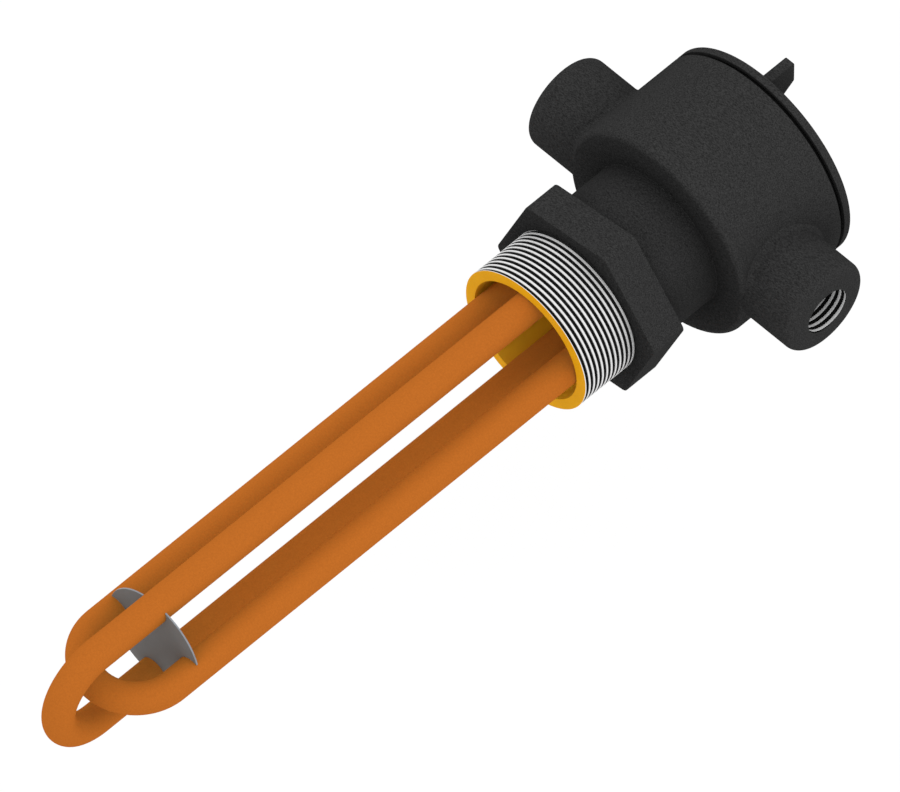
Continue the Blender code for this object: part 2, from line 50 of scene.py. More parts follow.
SPACER_SETBACK = 0.0092           # front of the disc behind the start of the short bend
BORE_GAP = 0.00062                # legs to the wall of the plug's bore
SLEEVE_WALL = 0.00316             # bore to the root of the thread
THREAD_DEPTH = 0.0013
THREAD_LENGTH = 0.0254
THREAD_PITCH = 0.0022087
PLUG_BORE_DEPTH = 0.0354
HEX_ACROSS_FLATS = 0.06985
HEX_HEIGHT = 0.0151
HEX_CORNER_RADIUS = 0.003
HEX_TURN = radians(8.8)           # a corner of the hexagon above world +X
SPIGOT_LENGTH = 0.0132
SPIGOT_LEDGE = 0.0012
THROAT_GAP = 0.00092              # leg ends to the wall of the throat
NECK_WALL = 0.0027
NECK_LENGTH = 0.0257              # hexagon to the flat underside of the round box
NECK_FILLET = 0.0002
BOX_RADIUS = 0.04445
BOX_WALL = 0.00645
BOX_HEIGHT = 0.0492
BOX_FLOOR = 0.0055
BOX_BOTTOM_FILLET = 0.0026
BOX_INNER_FILLET = 0.003
HUB_RADIUS = 0.01905
HUB_REACH = 0.067                 # heater axis to the hub's end face
HUB_EDGE_RADIUS = 0.0038
HUB_ROOT_FILLET = 0.0035
HUB_BORE_RADIUS = 0.0093
HUB_SINK = 0.00025                # the root fillet ends this far under the box's skin
COVER_GAP = 0.0014
FLANGE_THICKNESS = 0.0032
COVER_PLATE = 0.005
COVER_SPIGOT_LENGTH = 0.010
COVER_SPIGOT_WALL = 0.0045
LUG_THICKNESS = 0.0041
LUG_HEIGHT = 0.0137
LUG_INSET = 0.00375               # lug's outer edge inside the flange's
LUG_TOP_WIDTH = 0.0102
LUG_FOOT_WIDTH = 0.0202
LUG_CORNER_RADIUS = 0.001
RING_CORD_RADIUS = 0.00095
GROOVE_SIDE_GAP = 0.00045
PIN_RADIUS = 0.0021
GROUND_ANGLE = radians(45)
GROUND_BOSS_RADIUS = 0.0048
GROUND_BOSS_HEIGHT = 0.002
GROUND_WALL_GAP = 0.0012          # boss to the wall of the round box

# Edges and other fine forms that only the dressed model has
PLUG_EDGE = 0.00035               # broken edges of the hexagon
CAST_EDGE = 0.0005                # broken edges of the housing and the cover
SEAT_EDGE = 0.00015               # edges on both sides of the dark gap
BOSS_EDGE = 0.0003
TUBE_EDGE = 0.0003                # at the leg ends
SPACER_EDGE = 0.00012
BUSHING_EDGE = 0.00035
PIN_EDGE = 0.0001
NUT_EDGE = 0.0003
WASHER_EDGE = 0.00015
BAR_EDGE = 0.0002
SCREW_EDGE = 0.0002
SPACER_EDGE_ANGLE = radians(60)   # edges sharper than this are broken
TERMINAL_EDGE_ANGLE = radians(50)
RIM_DROP = 0.0004                 # the rim starts lower than in the solids, for the gap in the photo
SPACER_GAP = 0.00003              # the spacer's notches to the tubes
LUG_SIDE_RADIUS = 0.0003
LUG_FOOT_FLARE = 0.0012
LUG_TOP_TAPER = 0.3               # share of the side rounding that the lug's ends take at the top
TIP_LIP = 0.0003                  # smooth ring in front of the plug's first thread
PLUG_COLLAR = 0.0008              # painted ring that fills the last groove, beside the hexagon
COLLAR_DROP = 0.0002              # the painted ring lies this far under the crests

# Threads, each a sleeve with a hidden wall that is sunk behind the plain surface under it
CREST_SHARE = 0.45                # of the pitch is crest
CREST_FLAT = 0.72                 # of the crest's width is at its full height
CREST_DROP = 0.12                 # of the thread's depth is lost at the crest's edges
FLANK_SHARE = 0.1                 # of the pitch is a flank
THREAD_PHASE = -0.00132           # a crest of the plug's thread, at the angle below
THREAD_PHASE_ANGLE = radians(62.6)
CONDUIT_PITCH = 0.0026
CONDUIT_DEPTH = 0.0003
CONDUIT_CREST_SHARE = 0.42
CONDUIT_PHASE = 0.0005
COVER_PITCH = 0.0021167           # twelve threads per inch
COVER_THREAD_DEPTH = 0.0009
COVER_THREAD_RELIEF = 0.001       # plain neck between the cover's thread and its flange
MOUTH_THREAD_RUN = 0.002          # the housing's thread goes this far past the cover's spigot

# Hidden places, where one skin is sunk behind another
PLUG_CORE_SINK = 0.0004           # wall of the plug's core, under the root of its thread
PLUG_RING_SINK = 0.0006           # inner wall of the hexagon and of the painted ring
PLUG_SLEEVE_SINK = 0.0009         # hidden wall of the plug's thread
PLUG_STEP_SINK = 0.0002           # step of the plug's core, under the rear face of the hexagon
MOUTH_SEAT_SINK = 0.0004          # wall of the housing's mouth, behind the root of its thread
MOUTH_SLEEVE_SINK = 0.0006        # hidden wall of that thread
COVER_SLEEVE_SINK = 0.0005        # hidden wall of the cover's thread
LINER_WALL = 0.0008               # the conduit thread is a liner set in a wider bore
LINER_SINK = 0.0001               # the liner's hidden wall behind the hub's bore
LINER_STAND_OUT = 0.0004          # liner into the chamber
HUB_CORE = 0.965                  # inside the box's wall the hub narrows to this share
HUB_BAND = 0.0005                 # ring of faces just before the hub's rounded mouth
COVER_BAND = 0.004                # ring of faces along the edge of the cover's top
CUT_REACH = 0.004                 # cutters run this far past the wall they go through
OVERLAP = 0.001                   # joined shapes run this far past the face they meet
HAIR = 0.00001                    # keeps two faces out of one plane

# Looks: noise, and painted shade in hollows, as tints of the base colour from closed to open.
# Copper's tints keep its hue where tubes light each other.
NOISE_ROUGHNESS = 0.55
NOISE_TURN = radians(-45)
HOLLOW_REACH = 0.04               # how far off a surface still shades a hollow
HOLLOW_SAMPLES = 16
GREY_PAINTED_SHADE = ((0, (0.25, 0.25, 0.25)), (1, (1, 1, 1)))
COPPER_PAINTED_SHADE = (
    (0.10, (1.0, 1.0, 1.0)), (0.45, (0.86, 0.70, 0.56)),
    (0.80, (0.855, 0.605, 0.455)), (1, (0.90, 0.605, 0.455)),
)

# Facets
FINE_ROUND = 192
PLUG_THREAD_ROUND = 256
COVER_THREAD_ROUND = 160
CONDUIT_THREAD_ROUND = 128
HUB_ROUND = 144
TUBE_ROUND = 64
CUT_ROUND = 64
BOSS_ROUND = 48
CORD_ROUND = 24
LEG_STEPS = 24
BEND_STEPS = 72
NOTCH_STEPS = 40
RIM_STEPS = 24
ROOT_STEPS = 14
MOUTH_STEPS = 12
FOOT_STEPS = 10
HEX_CORNER_STEPS = 10
LUG_TOP_STEPS = 10
ARC_STEPS = 8
FLARE_STEPS = 6
LUG_CORNER_STEPS = 6
EDGE_STEPS = 5
BOSS_EDGE_STEPS = 4
HEX_EDGE_STEPS = 4
LUG_SIDE_STEPS = 4
SEAT_STEPS = 3
WELD = 0.000005
SHARP_ANGLE = radians(32)
FLAT_NORMAL = 0.99                # least share of a flat face's normal along the heater axis
LEVEL_SLACK = 0.0001

# Levels along the heater axis, from the shoulder
PLUG_TIP = -THREAD_LENGTH
WEB_FRONT = PLUG_TIP + PLUG_BORE_DEPTH
PLUG_REAR = HEX_HEIGHT + SPIGOT_LENGTH
LEG_END = PLUG_REAR + TUBE_STAND_OUT
NECK_START = HEX_HEIGHT + TOUCH
SOCKET_END = PLUG_REAR + TOUCH
BOX_UNDERSIDE = NECK_START + NECK_LENGTH
FLOOR_TOP = BOX_UNDERSIDE + BOX_FLOOR
BOX_RIM = BOX_UNDERSIDE + BOX_HEIGHT - RIM_DROP
MOUTH_THREAD_END = BOX_RIM - COVER_SPIGOT_LENGTH - MOUTH_THREAD_RUN
COVER_SEAT = BOX_UNDERSIDE + BOX_HEIGHT + COVER_GAP
COVER_TOP = COVER_SEAT + FLANGE_THICKNESS
HUB_HEIGHT = BOX_UNDERSIDE + HUB_RADIUS
GROUND_SEAT = FLOOR_TOP + GROUND_BOSS_HEIGHT

# Radii and places worked out from the sizes above
LONG_REACH = SHORT_REACH + 2 * TUBE_RADIUS + CROSSING_GAP
SPACER_RADIUS = LEG_CIRCLE_RADIUS + SPACER_RIM
LEGS_RADIUS = LEG_CIRCLE_RADIUS + TUBE_RADIUS
PLUG_BORE_RADIUS = LEGS_RADIUS + BORE_GAP
THREAD_ROOT_RADIUS = PLUG_BORE_RADIUS + SLEEVE_WALL
THREAD_RADIUS = THREAD_ROOT_RADIUS + THREAD_DEPTH
PLUG_RING_WALL = THREAD_ROOT_RADIUS - PLUG_RING_SINK
THROAT_RADIUS = LEGS_RADIUS + THROAT_GAP
SPIGOT_RADIUS = THROAT_RADIUS + SPIGOT_LEDGE
NECK_RADIUS = SPIGOT_RADIUS + TOUCH + NECK_WALL
CAVITY_RADIUS = BOX_RADIUS - BOX_WALL
MOUTH_ROOT_RADIUS = CAVITY_RADIUS + COVER_THREAD_DEPTH
RING_RADIUS = (CAVITY_RADIUS + BOX_RADIUS) / 2
GROOVE_WIDTH = 2 * (RING_CORD_RADIUS + GROOVE_SIDE_GAP)
GROOVE_DEPTH = 2 * (RING_CORD_RADIUS + TOUCH) - COVER_GAP
LUG_OUTER = BOX_RADIUS - LUG_INSET
GROUND_RADIUS = CAVITY_RADIUS - GROUND_WALL_GAP - GROUND_BOSS_RADIUS
LEG_PLACES = [
    (LEG_CIRCLE_RADIUS * cos(turn), LEG_CIRCLE_RADIUS * sin(turn))
    for turn in (0, -pi / 2, pi, pi / 2)
]

# Camera, floor and light
CAMERA_AZIMUTH = radians(44.792)
CAMERA_ELEVATION = radians(53.960)
CAMERA_ROLL = radians(0.268)
CAMERA_AIM = Vector((-0.001602, -0.061939, 0))
CAMERA_DISTANCE = 13.376
CAMERA_LENS = 1500                # so long that the view is nearly without perspective, as the photo's
CAMERA_FAR = 100
FLOOR_LEVEL = -0.16
FLOOR_SIZE = 12
FLOOR_COLOUR = 0.9
FLOOR_WHITE = 0.90                # share of the floor that shows as plain white
FLOOR_PALE = 0.12                 # share that still takes the shadow
WORLD_LIGHT = 0.93
KEY_LIGHT = 0.32
KEY_DIRECTION = (0.55, 0.25, 0.80)
KEY_SPREAD = radians(50)


def lay(point):
    """From drawing axes, with the heater axis as z, to the frame of the CAD."""
    x, y, z = point
    return (x, z, -y)


def arc(centre, radius, start, end, steps=ARC_STEPS):
    """Points on an arc, both ends included."""
    turns = [start + (end - start) * i / steps for i in range(steps + 1)]
    return [(centre[0] + radius * cos(turn), centre[1] + radius * sin(turn)) for turn in turns]


def add_object(name, data):
    thing = bpy.data.objects.new(name, data)
    bpy.context.scene.collection.objects.link(thing)
    return thing


class Surface:
    """Rings of points in drawing axes, bridged into closed skins of one mesh."""

    def __init__(self, mesh=None):
        self.work = bmesh.new()
        if mesh:
            self.work.from_mesh(mesh)

    def ring(self, points):
        return [self.work.verts.new(lay(point)) for point in points]

    def bridge(self, first, second, slot=0):
        """Strip of faces between two rings. A ring of one point is a pole."""
        for k in range(max(len(first), len(second))):
            corners = [
                ring[(k - back) % len(ring)]
                for ring, back in ((first, 0), (first, 1), (second, 1), (second, 0))
            ]
            self.work.faces.new(list(dict.fromkeys(corners))).material_index = slot

    def loft(self, rings, slots=0, loop=False):
        """Skin through the rings. slots is one material slot, or one for each strip."""
        rings = [self.ring(points) for points in rings]
        pairs = list(zip(rings, rings[1:] + rings[:1] if loop else rings[1:]))
        if isinstance(slots, int):
            slots = [slots] * len(pairs)
        for (first, second), slot in zip(pairs, slots):
            self.bridge(first, second, slot)
        if not loop:
            for end, slot in ((rings[0], slots[0]), (rings[-1][::-1], slots[-1])):
                if len(end) > 1:
                    self.work.faces.new(end).material_index = slot

    def revolve(self, profile, steps=FINE_ROUND, slots=0, loop=False, centre=(0, 0)):
        """Solid of revolution about the heater axis, or one parallel to it, from (radius, height)."""
        rings = []
        for radius, height in profile:
            turns = [tau * k / steps for k in range(steps)] if radius > WELD else [0]
            rings.append([
                (centre[0] + radius * cos(turn), centre[1] + radius * sin(turn), height)
                for turn in turns
            ])
        self.loft(rings, slots, loop)

    def mesh(self, name):
        """Mesh of the skins, with their faces pointing out."""
        bmesh.ops.recalc_face_normals(self.work, faces=self.work.faces)
        mesh = bpy.data.meshes.new(name)
        self.work.to_mesh(mesh)
        self.work.free()
        return mesh

    def finish(self, name, materials, body, stands_for):
        """Piece that rides on a body and stands for the nodes named."""
        mesh = self.mesh(name)
        mesh.shade_smooth()
        mesh.set_sharp_from_angle(angle=SHARP_ANGLE)
        for material in materials:
            mesh.materials.append(material)
        piece = add_object(name, mesh)
        even = piece.modifiers.new("Even shading", "WEIGHTED_NORMAL")
        even.keep_sharp = True
        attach(piece, body)
        if stands_for:
            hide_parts(*stands_for)
        return piece


def carve(solid, cutter):
    """Mesh of one closed surface with another taken out of it."""
    block = add_object("block", solid.mesh("block"))
    tool = add_object("tool", cutter.mesh("tool"))
    step = block.modifiers.new("Carve", "BOOLEAN")
    step.operation = "DIFFERENCE"
    step.solver = "EXACT"
    step.object = tool
    bpy.context.view_layer.update()
    evaluated = block.evaluated_get(bpy.context.evaluated_depsgraph_get())
    carved = bpy.data.meshes.new_from_object(evaluated)
    bpy.data.objects.remove(block)
    bpy.data.objects.remove(tool)
    return carved


def mark_seat(piece, level):
    """Give the flat ring at a level of the heater axis the second material, the seat's painted shade."""
    for face in piece.data.polygons:
        if abs(face.normal.y) > FLAT_NORMAL and abs(face.center.y - level) < LEVEL_SLACK:
            face.material_index = 1


def break_edges(piece, width, angle):
    """Narrow bevel on the edges that are sharper than an angle."""
    bevel = piece.modifiers.new("Broken edges", "BEVEL")
    bevel.width = width
    bevel.segments = 2
    bevel.limit_method = "ANGLE"
    bevel.angle_limit = angle


# Material tools


def grey(value):
    return (value, value, value)


def new_material(name, roughness, specular=0.5, metallic=0.0):
    material = bpy.data.materials.new(name)
    material.use_nodes = True
    shader = material.node_tree.nodes["Principled BSDF"]
    shader.inputs["Roughness"].default_value = roughness
    shader.inputs["Specular IOR Level"].default_value = specular
    shader.inputs["Metallic"].default_value = metallic
    return material


def add_noise(material, scale, detail, distortion, stretch):
    """Noise texture in the frame of the CAD, per metre. With a stretch it is turned and drawn out."""
    nodes, links = material.node_tree.nodes, material.node_tree.links
    where = nodes.new("ShaderNodeTexCoord").outputs["Object"]
    noise = nodes.new("ShaderNodeTexNoise")
    noise.inputs["Scale"].default_value = scale
    noise.inputs["Detail"].default_value = detail
    noise.inputs["Roughness"].default_value = NOISE_ROUGHNESS
    noise.inputs["Distortion"].default_value = distortion
    if stretch:
        mapping = nodes.new("ShaderNodeMapping")
        mapping.inputs["Rotation"].default_value = (0, 0, NOISE_TURN)
        mapping.inputs["Scale"].default_value = stretch
        links.new(where, mapping.inputs["Vector"])
        where = mapping.outputs["Vector"]
    links.new(where, noise.inputs["Vector"])
    return noise


def speckle(material, dark, light, scale, detail=2, distortion=0, stretch=None, spread=0.2):
    """Drive the base colour between two colours by a noise, and return the noise."""
    nodes, links = material.node_tree.nodes, material.node_tree.links
    noise = add_noise(material, scale, detail, distortion, stretch)
    ramp = nodes.new("ShaderNodeValToRGB")
    first, last = ramp.color_ramp.elements
    first.position = 0.5 - spread
    first.color = (*dark, 1)
    last.position = 0.5 + spread
    last.color = (*light, 1)
    links.new(noise.outputs["Fac"], ramp.inputs["Fac"])
    links.new(ramp.outputs["Color"], nodes["Principled BSDF"].inputs["Base Color"])
    return noise


def paint_shade_in_hollows(material, stops):
    """Paint shade into the base colour by how open the surface is, from (openness, tint) pairs."""
    nodes, links = material.node_tree.nodes, material.node_tree.links
    base = nodes["Principled BSDF"].inputs["Base Color"]
    openness = nodes.new("ShaderNodeAmbientOcclusion")
    openness.samples = HOLLOW_SAMPLES
    openness.inputs["Distance"].default_value = HOLLOW_REACH
    shade_tints = nodes.new("ShaderNodeValToRGB")
    while len(shade_tints.color_ramp.elements) < len(stops):
        shade_tints.color_ramp.elements.new(0.5)
    for element, (position, tint) in zip(shade_tints.color_ramp.elements, stops):
        element.position = position
        element.color = (*tint, 1)
    mix = nodes.new("ShaderNodeMix")
    mix.data_type = "RGBA"
    mix.blend_type = "MULTIPLY"
    mix.inputs["Factor"].default_value = 1
    first_colour, second_colour, mixed = mix.inputs[6], mix.inputs[7], mix.outputs[2]
    links.new(openness.outputs["AO"], shade_tints.inputs["Fac"])
    links.new(base.links[0].from_socket, first_colour)
    links.new(shade_tints.outputs["Color"], second_colour)
    links.new(mixed, base)


def vary_roughness(material, noise, low, high):
    nodes, links = material.node_tree.nodes, material.node_tree.links
    spread = nodes.new("ShaderNodeMapRange")
    spread.inputs["To Min"].default_value = low
    spread.inputs["To Max"].default_value = high
    links.new(noise.outputs["Fac"], spread.inputs["Value"])
    links.new(spread.outputs["Result"], nodes["Principled BSDF"].inputs["Roughness"])


def add_bump(material, noise, height, strength):
    nodes, links = material.node_tree.nodes, material.node_tree.links
    bump = nodes.new("ShaderNodeBump")
    bump.inputs["Strength"].default_value = strength
    bump.inputs["Distance"].default_value = height
    links.new(noise.outputs["Fac"], bump.inputs["Height"])
    links.new(bump.outputs["Normal"], nodes["Principled BSDF"].inputs["Normal"])


# Materials


def paint_material():
    """Black textured paint with a fine wrinkle, and painted shade in its hollows."""
    material = new_material("wrinkle_paint", 0.6, specular=0)
    wrinkle = speckle(
        material, grey(0.0214), grey(0.0512), 1700, detail=1.5, distortion=0.6,
        stretch=(0.65, 1.7, 1.7), spread=0.15,
    )
    add_bump(material, wrinkle, 0.00015, 0.8)
    paint_shade_in_hollows(material, GREY_PAINTED_SHADE)
    return material


def sheath_material():
    """Dull copper of the heating elements, with painted shade in its hollows that keeps the copper's hue.
    """
    material = new_material("copper_sheath", 0.6, specular=0)
    grain = speckle(material, (0.555, 0.236, 0.044), (0.633, 0.269, 0.0493), 1500, detail=3)
    add_bump(material, grain, 0.00003, 0.5)
    paint_shade_in_hollows(material, COPPER_PAINTED_SHADE)
    return material


def brass_material():
    material = new_material("turned_brass", 0.5, specular=0.02)
    speckle(material, (0.875, 0.447, 0.011), (0.915, 0.463, 0.012), 1200)
    return material


def bore_light_material():
    """Brass inside the plug, a lighter copy of the turned brass: painted light against the shade there."""
    material = new_material("bore_brass_painted_light", 0.5, specular=0.02)
    speckle(material, (0.96, 0.655, 0.039), (0.98, 0.675, 0.041), 900)
    return material


# Pale crests: painted light on the ridges of the plug's thread, with painted shade in their hollows.
def crest_material():
    material = new_material("thread_crest_painted_light", 0.4, specular=0.1)
    speckle(material, grey(0.84), grey(0.90), 700)
    paint_shade_in_hollows(material, GREY_PAINTED_SHADE)
    return material


# Near-black roots: painted shade in the grooves of the plug's thread.
def root_material():
    material = new_material("thread_root_painted_shade", 0.7, specular=0.02)
    speckle(material, grey(0.021), grey(0.027), 900)
    return material


# Pale crests of the hubs' thread: painted light, dimmer than the plug's for the shade inside the bore.
def conduit_crest_material():
    material = new_material("conduit_crest_painted_light", 0.4, specular=0.1)
    speckle(material, grey(0.70), grey(0.74), 700)
    return material


# Near-black roots of the hubs' thread: painted shade in its grooves.
def conduit_root_material():
    material = new_material("conduit_root_painted_shade", 0.7, specular=0.02)
    speckle(material, grey(0.006), grey(0.010), 900)
    return material


def seat_shade_material():
    """Bare machined seat between the housing and the cover, where no light reaches; its near-black colour
    is painted shade.
    """
    material = new_material("seat_painted_shade", 0.7, specular=0.02)
    speckle(material, grey(0.022), grey(0.028), 900)
    return material


def spacer_material():
    material = new_material("spacer_sheet", 0.5, specular=0.05)
    speckle(material, (0.178, 0.192, 0.195), (0.194, 0.208, 0.211), 120)
    return material


# Lighter copy of the sheet's colour for the disc's thin edge: a painted highlight where the edge catches
# the light.
def spacer_edge_highlight_material():
    material = new_material("spacer_edge_painted_highlight", 0.4)
    speckle(material, (0.23, 0.25, 0.28), (0.29, 0.31, 0.34), 300)
    return material


def rubber_material():
    material = new_material("black_rubber", 0.8, specular=0.02)
    speckle(material, grey(0.006), grey(0.010), 1500)
    return material


def steel_material():
    material = new_material("plated_steel", 0.32, metallic=1)
    turning = speckle(material, (0.48, 0.48, 0.49), (0.60, 0.60, 0.61), 2500)
    vary_roughness(material, turning, 0.25, 0.42)
    return material


def ceramic_material():
    material = new_material("white_ceramic", 0.45)
    grain = speckle(material, (0.70, 0.67, 0.60), (0.79, 0.76, 0.69), 1800, detail=3)
    add_bump(material, grain, 0.00003, 0.4)
    return material


def link_copper_material():
    material = new_material("rolled_copper", 0.35, metallic=1)
    rolling = speckle(
        material, (0.50, 0.19, 0.075), (0.66, 0.28, 0.12), 900, detail=3, stretch=(1, 1, 6),
    )
    vary_roughness(material, rolling, 0.28, 0.45)
    return material


def green_material():
    material = new_material("green_lacquer", 0.45)
    speckle(material, (0.024, 0.18, 0.05), (0.036, 0.25, 0.07), 800)
    return material


# Threads


def wind_thread(profile, strips, low, high, pitch, phase, steps):
    """Helical skin that more than covers two levels, from one turn's profile and its strips' slots."""
    turns = range(floor((low - phase) / pitch) - 2, floor((high - phase) / pitch) + 3)
    rows = [(phase + (turn + share) * pitch, radius) for turn in turns for share, radius in profile]
    work = bmesh.new()
    grid = [
        [
            work.verts.new((
                radius * cos(tau * k / steps), radius * sin(tau * k / steps), level + pitch * k / steps,
            ))
            for k in range(steps)
        ]
        for level, radius in rows
    ]
    wrap = len(profile)
    for j in range(len(rows) - 1):
        here, above = grid[j], grid[j + 1]
        quads = [(here[k], here[k + 1], above[k + 1], above[k]) for k in range(steps - 1)]
        if j + 1 + wrap < len(rows):
            quads.append((here[-1], grid[j + wrap][0], grid[j + 1 + wrap][0], above[-1]))
        for quad in quads:
            work.faces.new(quad).material_index = strips[j % wrap]
    return work


def trim(work, low, high):
    """Cut a skin off flat at two levels."""
    for level, side in ((low, -1), (high, 1)):
        bmesh.ops.bisect_plane(
            work, geom=work.verts[:] + work.edges[:] + work.faces[:], dist=WELD / 10,
            plane_co=(0, 0, level), plane_no=(0, 0, side), clear_outer=True,
        )


def open_edges(work, level):
    return [
        edge for edge in work.edges
        if edge.is_boundary and all(abs(vert.co.z - level) < WELD for vert in edge.verts)
    ]


def back_up(work, radius, low, high, slot):
    """Close a skin with flat rings at its two ends and a hidden wall between them."""
    wall_ends = []
    for level in (low, high):
        edges = open_edges(work, level)
        inner = {}
        for vert in dict.fromkeys(vert for edge in edges for vert in edge.verts):
            x, y, z = vert.co
            inner[vert] = work.verts.new((x * radius / hypot(x, y), y * radius / hypot(x, y), level))
        for edge in edges:
            start, end = edge.verts
            work.faces.new((start, end, inner[end], inner[start])).material_index = slot
        wall_ends += open_edges(work, level)
    bmesh.ops.bridge_loops(work, edges=wall_ends)


def add_thread(
    surface, radii, levels, pitch, phase=0, share=CREST_SHARE, steps=COVER_THREAD_ROUND, slots=(0, 0, 0),
    matrix=Matrix.Identity(4),
):
    """Helical thread about the z axis of a matrix.

    The radii are those of the crest, the root and the hidden wall. phase is a crest's level at the angle
    0, which rises with it, and share is the crest's part of the pitch. The slots are those of the crest,
    the root and the end faces.
    """
    crest, root, hidden = radii
    bright, dark, ends = slots
    half = share / 2
    brow = crest + (root - crest) * CREST_DROP
    profile = [
        (-half, brow), (-half * CREST_FLAT, crest), (half * CREST_FLAT, crest), (half, brow),
        (half + FLANK_SHARE, root), (1 - half - FLANK_SHARE, root),
    ]
    work = wind_thread(profile, [bright] * 3 + [dark] * 3, *levels, pitch, phase, steps)
    trim(work, *levels)
    back_up(work, hidden, *levels, ends)
    copies = {vert: surface.work.verts.new(lay(matrix @ vert.co)) for vert in work.verts}
    for face in work.faces:
        copy = surface.work.faces.new([copies[vert] for vert in face.verts])
        copy.material_index = face.material_index
    work.free()


# Housing


def hub_place(turn):
    return Matrix.Translation((0, 0, HUB_HEIGHT)) @ Matrix.Rotation(turn, 4, "Z")


def root_point(side, up, share):
    """Point on the fillet of a ball that rolls round the hub. Share 0 is on the hub and 1 on the box.

    The ball touches the box's wall or, further down, the round edge between the wall and the underside.
    """
    out = HUB_RADIUS + HUB_ROOT_FILLET
    edge_level = BOX_BOTTOM_FILLET - HUB_RADIUS
    edge_radius = BOX_RADIUS - BOX_BOTTOM_FILLET
    below = max(0, edge_level - out * up)
    gap = BOX_BOTTOM_FILLET - HUB_SINK + HUB_ROOT_FILLET
    around = edge_radius + sqrt(max(0, gap ** 2 - below ** 2))
    ball = Vector((sqrt(around ** 2 - (out * side) ** 2), out * side, out * up))
    inward = Vector((-ball.x, -ball.y, 0)).normalized()
    to_hub = Vector((0, -side, -up))
    to_box = (inward * (around - edge_radius) + Vector((0, 0, below))).normalized()
    point = ball + to_hub.slerp(to_box, share) * HUB_ROOT_FILLET
    return (point.x, point.y, max(point.z, -HUB_RADIUS))


def add_hub(surface, turn):
    """Conduit hub: rolled root, wall, rounded mouth, face and bore. Its root is sunk in the box's wall."""
    ways = [(sin(tau * k / HUB_ROUND), cos(tau * k / HUB_ROUND)) for k in range(HUB_ROUND)]
    rings = [
        [root_point(side, up, 1 - i / ROOT_STEPS) for side, up in ways]
        for i in range(ROOT_STEPS + 1)
    ]
    mouth = (HUB_RADIUS - HUB_EDGE_RADIUS, HUB_REACH - HUB_EDGE_RADIUS)
    bore = HUB_BORE_RADIUS + LINER_WALL - LINER_SINK
    inner_end = RING_RADIUS - OVERLAP
    profile = [(HUB_RADIUS, HUB_REACH - HUB_EDGE_RADIUS - HUB_BAND)]
    profile += arc(mouth, HUB_EDGE_RADIUS, 0, pi / 2, MOUTH_STEPS)
    profile += [(bore, HUB_REACH), (bore, inner_end), (HUB_RADIUS * HUB_CORE, inner_end)]
    rings += [[(x, out * side, out * up) for side, up in ways] for out, x in profile]
    matrix = hub_place(turn)
    surface.loft([[matrix @ Vector(point) for point in ring] for ring in rings], loop=True)


def body_skin():
    """Round box, neck, socket, throat, chamber and mouth, turned about the heater axis."""
    foot, neck_fillet, inner = BOX_BOTTOM_FILLET, NECK_FILLET, BOX_INNER_FILLET
    socket = SPIGOT_RADIUS + TOUCH
    seat = MOUTH_ROOT_RADIUS + MOUTH_SEAT_SINK
    profile = arc((BOX_RADIUS - SEAT_EDGE, BOX_RIM - SEAT_EDGE), SEAT_EDGE, pi / 2, 0, EDGE_STEPS)
    profile += arc((BOX_RADIUS - foot, BOX_UNDERSIDE + foot), foot, 0, -pi / 2, FOOT_STEPS)
    profile += arc((NECK_RADIUS + neck_fillet, BOX_UNDERSIDE - neck_fillet), neck_fillet, pi / 2, pi)
    profile += arc((NECK_RADIUS - CAST_EDGE, NECK_START + CAST_EDGE), CAST_EDGE, 0, -pi / 2, EDGE_STEPS)
    profile += [(socket, NECK_START), (socket, SOCKET_END)]
    profile += [(THROAT_RADIUS, SOCKET_END), (THROAT_RADIUS, FLOOR_TOP)]
    profile += arc((CAVITY_RADIUS - inner, FLOOR_TOP + inner), inner, -pi / 2, 0)
    profile += [(CAVITY_RADIUS, MOUTH_THREAD_END), (seat, MOUTH_THREAD_END), (seat, BOX_RIM)]
    skin = Surface()
    skin.revolve(profile, loop=True)
    return skin


def bore_cutter():
    """Bore through both walls of the round box, a hair wider than the hubs' own bore."""
    cutter = Surface()
    radius = HUB_BORE_RADIUS + LINER_WALL - LINER_SINK / 2
    turns = [tau * k / CUT_ROUND for k in range(CUT_ROUND)]
    for sign in (1, -1):
        ends = (sign * (CAVITY_RADIUS - CUT_REACH), sign * (BOX_RADIUS + CUT_REACH))
        cutter.loft([
            [(x, radius * sin(turn), HUB_HEIGHT + radius * cos(turn)) for turn in turns]
            for x in ends
        ])
    return cutter


def add_ground_boss(surface):
    place = (GROUND_RADIUS * cos(GROUND_ANGLE), GROUND_RADIUS * sin(GROUND_ANGLE))
    hole = PIN_RADIUS + TOUCH
    bottom = BOX_UNDERSIDE + OVERLAP
    edge = (GROUND_BOSS_RADIUS - BOSS_EDGE, GROUND_SEAT - BOSS_EDGE)
    profile = [(GROUND_BOSS_RADIUS, bottom)] + arc(edge, BOSS_EDGE, 0, pi / 2, BOSS_EDGE_STEPS)
    profile += [(hole, GROUND_SEAT), (hole, bottom)]
    surface.revolve(profile, steps=BOSS_ROUND, loop=True, centre=place)


def make_casting(paint, seat):
    casting = Surface(carve(body_skin(), bore_cutter()))
    add_hub(casting, 0)
    add_hub(casting, pi)
    add_ground_boss(casting)
    piece = casting.finish("cast_housing", [paint, seat], "housing", ["housing_body"])
    mark_seat(piece, BOX_RIM)


def make_mouth_thread(paint):
    """Thread in the housing's mouth, which the cover screws into."""
    mouth = Surface()
    radii = (CAVITY_RADIUS, MOUTH_ROOT_RADIUS, MOUTH_ROOT_RADIUS + MOUTH_SLEEVE_SINK)
    add_thread(mouth, radii, (MOUTH_THREAD_END, BOX_RIM), COVER_PITCH)
    mouth.finish("housing_thread", [paint], "housing", [])


